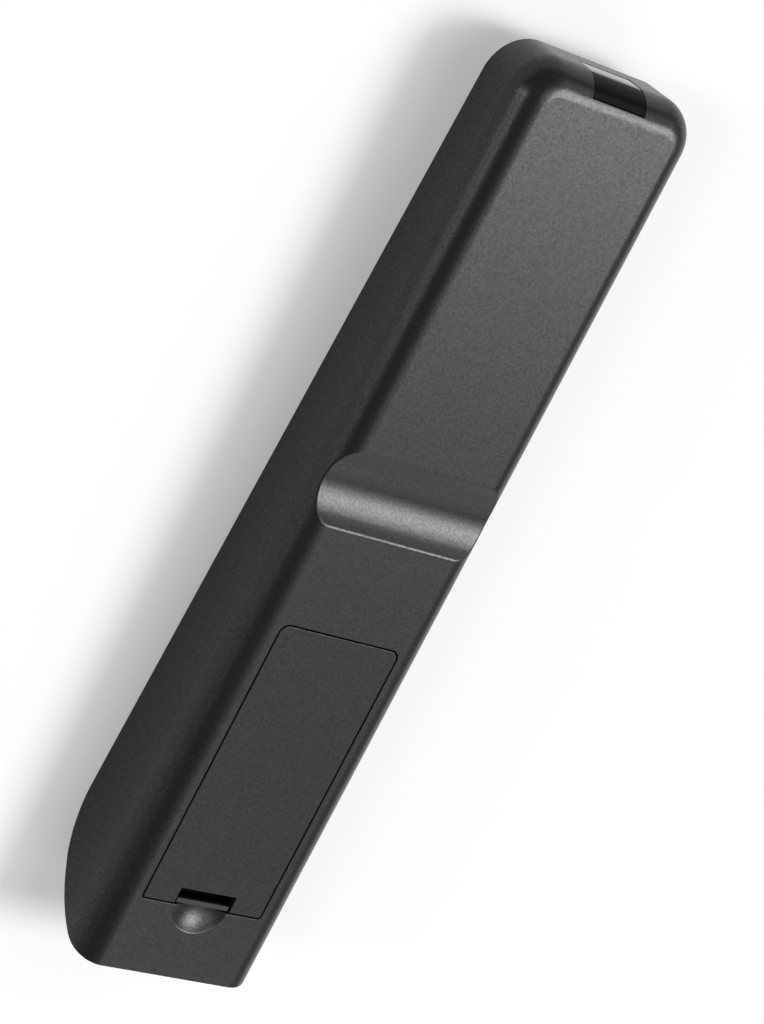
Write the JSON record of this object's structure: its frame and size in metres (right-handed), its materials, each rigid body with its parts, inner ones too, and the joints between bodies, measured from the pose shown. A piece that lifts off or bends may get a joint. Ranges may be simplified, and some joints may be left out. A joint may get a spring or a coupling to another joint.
{
  "type": "universal remote control",
  "caption": "Slim wedge-shaped universal remote control with finger groove, latched battery cover, infrared nose window and sprung keys, lying on its key side.",
  "frame": {"origin": "middle of the bounding box in plan, at the lowest line of the key side", "axes": "+Z out of the flat back, -Y towards the infrared nose, +X to the right of someone who looks at the keys with the nose up"},
  "size_m": [0.0464, 0.207, 0.0218],
  "materials": {
    "shell": "fine spark-eroded grain, dark grey",
    "plate": "satin black",
    "window": "glossy infrared filter",
    "cell": "plain wrapped sleeve",
    "metal": "nickel plated",
    "board": "solder mask",
    "diode": "clear bluish resin",
    "lamp": "red resin",
    "chip": "moulded epoxy",
    "resonator": "dipped resin",
    "capacitor": "sleeved can",
    "sheet": "silicone",
    "key_grey": "silicone",
    "key_red": "silicone",
    "key_green": "silicone",
    "key_yellow": "silicone",
    "key_blue": "silicone"
  },
  "bodies": {
    "case": {"rear_shell": "shell", "front_shell": "plate", "ir_window": "window", "cell_a": "cell", "cell_b": "cell", "spring_a": "metal", "spring_b": "metal", "contact_plus": "metal", "contact_minus": "metal", "contact_bridge": "metal", "circuit_board": "board", "ir_diode_a": "diode", "ir_diode_b": "diode", "status_lamp": "lamp", "controller_chip": "chip", "resonator": "resonator", "capacitor": "capacitor", "board_screw_a": "metal", "board_screw_b": "metal", "keypad_sheet": "sheet"},
    "battery_cover": {"battery_cover": "shell"},
    "battery_latch": {"battery_latch": "shell"},
    "key_power": {"key_power": "key_red"},
    "key_source": {"key_source": "key_grey"},
    "key_dev_1": {"key_dev_1": "key_grey"},
    "key_dev_2": {"key_dev_2": "key_grey"},
    "key_dev_3": {"key_dev_3": "key_grey"},
    "key_1": {"key_1": "key_grey"},
    "key_2": {"key_2": "key_grey"},
    "key_3": {"key_3": "key_grey"},
    "key_4": {"key_4": "key_grey"},
    "key_5": {"key_5": "key_grey"},
    "key_6": {"key_6": "key_grey"},
    "key_7": {"key_7": "key_grey"},
    "key_8": {"key_8": "key_grey"},
    "key_9": {"key_9": "key_grey"},
    "key_dash": {"key_dash": "key_grey"},
    "key_0": {"key_0": "key_grey"},
    "key_list": {"key_list": "key_grey"},
    "key_volume": {"key_volume": "key_grey"},
    "key_channel": {"key_channel": "key_grey"},
    "key_mute": {"key_mute": "key_grey"},
    "key_info": {"key_info": "key_grey"},
    "key_up": {"key_up": "key_grey"},
    "key_down": {"key_down": "key_grey"},
    "key_left": {"key_left": "key_grey"},
    "key_right": {"key_right": "key_grey"},
    "key_ok": {"key_ok": "key_grey"},
    "key_menu": {"key_menu": "key_grey"},
    "key_guide": {"key_guide": "key_grey"},
    "key_back": {"key_back": "key_grey"},
    "key_exit": {"key_exit": "key_grey"},
    "key_red": {"key_red": "key_red"},
    "key_green": {"key_green": "key_green"},
    "key_yellow": {"key_yellow": "key_yellow"},
    "key_blue": {"key_blue": "key_blue"}
  },
  "joints": [
    {"name": "battery_cover_hinge", "type": "hinge", "parent": "case", "child": "battery_cover", "pos_m": [0, 0.0215, 0.0218], "axis": [1, 0, 0], "range_deg": [0, 75]},
    {"name": "battery_latch_slide", "type": "slide", "parent": "battery_cover", "child": "battery_latch", "axis": [0, -1, 0], "range_m": [0, 0.0015], "stiffness_N_per_m": 2000},
    {"name": "key_power_press", "type": "slide", "parent": "case", "child": "key_power", "axis": [0, 0.0426, 0.9991], "range_m": [0, 0.001], "stiffness_N_per_m": 1500},
    {"name": "key_source_press", "type": "slide", "parent": "case", "child": "key_source", "axis": [0, 0.0426, 0.9991], "range_m": [0, 0.001], "stiffness_N_per_m": 1500},
    {"name": "key_dev_1_press", "type": "slide", "parent": "case", "child": "key_dev_1", "axis": [0, 0.0426, 0.9991], "range_m": [0, 0.001], "stiffness_N_per_m": 1500},
    {"name": "key_dev_2_press", "type": "slide", "parent": "case", "child": "key_dev_2", "axis": [0, 0.0426, 0.9991], "range_m": [0, 0.001], "stiffness_N_per_m": 1500},
    {"name": "key_dev_3_press", "type": "slide", "parent": "case", "child": "key_dev_3", "axis": [0, 0.0426, 0.9991], "range_m": [0, 0.001], "stiffness_N_per_m": 1500},
    {"name": "key_1_press", "type": "slide", "parent": "case", "child": "key_1", "axis": [0, 0.0426, 0.9991], "range_m": [0, 0.001], "stiffness_N_per_m": 1500},
    {"name": "key_2_press", "type": "slide", "parent": "case", "child": "key_2", "axis": [0, 0.0426, 0.9991], "range_m": [0, 0.001], "stiffness_N_per_m": 1500},
    {"name": "key_3_press", "type": "slide", "parent": "case", "child": "key_3", "axis": [0, 0.0426, 0.9991], "range_m": [0, 0.001], "stiffness_N_per_m": 1500},
    {"name": "key_4_press", "type": "slide", "parent": "case", "child": "key_4", "axis": [0, 0.0426, 0.9991], "range_m": [0, 0.001], "stiffness_N_per_m": 1500},
    {"name": "key_5_press", "type": "slide", "parent": "case", "child": "key_5", "axis": [0, 0.0426, 0.9991], "range_m": [0, 0.001], "stiffness_N_per_m": 1500},
    {"name": "key_6_press", "type": "slide", "parent": "case", "child": "key_6", "axis": [0, 0.0426, 0.9991], "range_m": [0, 0.001], "stiffness_N_per_m": 1500},
    {"name": "key_7_press", "type": "slide", "parent": "case", "child": "key_7", "axis": [0, 0.0426, 0.9991], "range_m": [0, 0.001], "stiffness_N_per_m": 1500},
    {"name": "key_8_press", "type": "slide", "parent": "case", "child": "key_8", "axis": [0, 0.0426, 0.9991], "range_m": [0, 0.001], "stiffness_N_per_m": 1500},
    {"name": "key_9_press", "type": "slide", "parent": "case", "child": "key_9", "axis": [0, 0.0426, 0.9991], "range_m": [0, 0.001], "stiffness_N_per_m": 1500},
    {"name": "key_dash_press", "type": "slide", "parent": "case", "child": "key_dash", "axis": [0, 0.0426, 0.9991], "range_m": [0, 0.001], "stiffness_N_per_m": 1500},
    {"name": "key_0_press", "type": "slide", "parent": "case", "child": "key_0", "axis": [0, 0.0426, 0.9991], "range_m": [0, 0.001], "stiffness_N_per_m": 1500},
    {"name": "key_list_press", "type": "slide", "parent": "case", "child": "key_list", "axis": [0, 0.0426, 0.9991], "range_m": [0, 0.001], "stiffness_N_per_m": 1500},
    {"name": "key_volume_rock", "type": "hinge", "parent": "case", "child": "key_volume", "pos_m": [-0.013, -0.03042, 0.00754], "axis": [1, 0, 0], "range_deg": [-4, 4], "stiffness_Nm_per_rad": 0.15},
    {"name": "key_channel_rock", "type": "hinge", "parent": "case", "child": "key_channel", "pos_m": [0.013, -0.03042, 0.00754], "axis": [1, 0, 0], "range_deg": [-4, 4], "stiffness_Nm_per_rad": 0.15},
    {"name": "key_mute_press", "type": "slide", "parent": "case", "child": "key_mute", "axis": [0, 0.0426, 0.9991], "range_m": [0, 0.001], "stiffness_N_per_m": 1500},
    {"name": "key_info_press", "type": "slide", "parent": "case", "child": "key_info", "axis": [0, 0.0426, 0.9991], "range_m": [0, 0.001], "stiffness_N_per_m": 1500},
    {"name": "key_up_press", "type": "slide", "parent": "case", "child": "key_up", "axis": [0, 0.0426, 0.9991], "range_m": [0, 0.001], "stiffness_N_per_m": 1500},
    {"name": "key_down_press", "type": "slide", "parent": "case", "child": "key_down", "axis": [0, 0.0426, 0.9991], "range_m": [0, 0.001], "stiffness_N_per_m": 1500},
    {"name": "key_left_press", "type": "slide", "parent": "case", "child": "key_left", "axis": [0, 0.0426, 0.9991], "range_m": [0, 0.001], "stiffness_N_per_m": 1500},
    {"name": "key_right_press", "type": "slide", "parent": "case", "child": "key_right", "axis": [0, 0.0426, 0.9991], "range_m": [0, 0.001], "stiffness_N_per_m": 1500},
    {"name": "key_ok_press", "type": "slide", "parent": "case", "child": "key_ok", "axis": [0, 0.0426, 0.9991], "range_m": [0, 0.001], "stiffness_N_per_m": 1500},
    {"name": "key_menu_press", "type": "slide", "parent": "case", "child": "key_menu", "axis": [0, 0.0426, 0.9991], "range_m": [0, 0.001], "stiffness_N_per_m": 1500},
    {"name": "key_guide_press", "type": "slide", "parent": "case", "child": "key_guide", "axis": [0, 0.0426, 0.9991], "range_m": [0, 0.001], "stiffness_N_per_m": 1500},
    {"name": "key_back_press", "type": "slide", "parent": "case", "child": "key_back", "axis": [0, 0.0426, 0.9991], "range_m": [0, 0.001], "stiffness_N_per_m": 1500},
    {"name": "key_exit_press", "type": "slide", "parent": "case", "child": "key_exit", "axis": [0, 0.0426, 0.9991], "range_m": [0, 0.001], "stiffness_N_per_m": 1500},
    {"name": "key_red_press", "type": "slide", "parent": "case", "child": "key_red", "axis": [0, 0.0426, 0.9991], "range_m": [0, 0.001], "stiffness_N_per_m": 1500},
    {"name": "key_green_press", "type": "slide", "parent": "case", "child": "key_green", "axis": [0, 0.0426, 0.9991], "range_m": [0, 0.001], "stiffness_N_per_m": 1500},
    {"name": "key_yellow_press", "type": "slide", "parent": "case", "child": "key_yellow", "axis": [0, 0.0426, 0.9991], "range_m": [0, 0.001], "stiffness_N_per_m": 1500},
    {"name": "key_blue_press", "type": "slide", "parent": "case", "child": "key_blue", "axis": [0, 0.0426, 0.9991], "range_m": [0, 0.001], "stiffness_N_per_m": 1500}
  ]
}
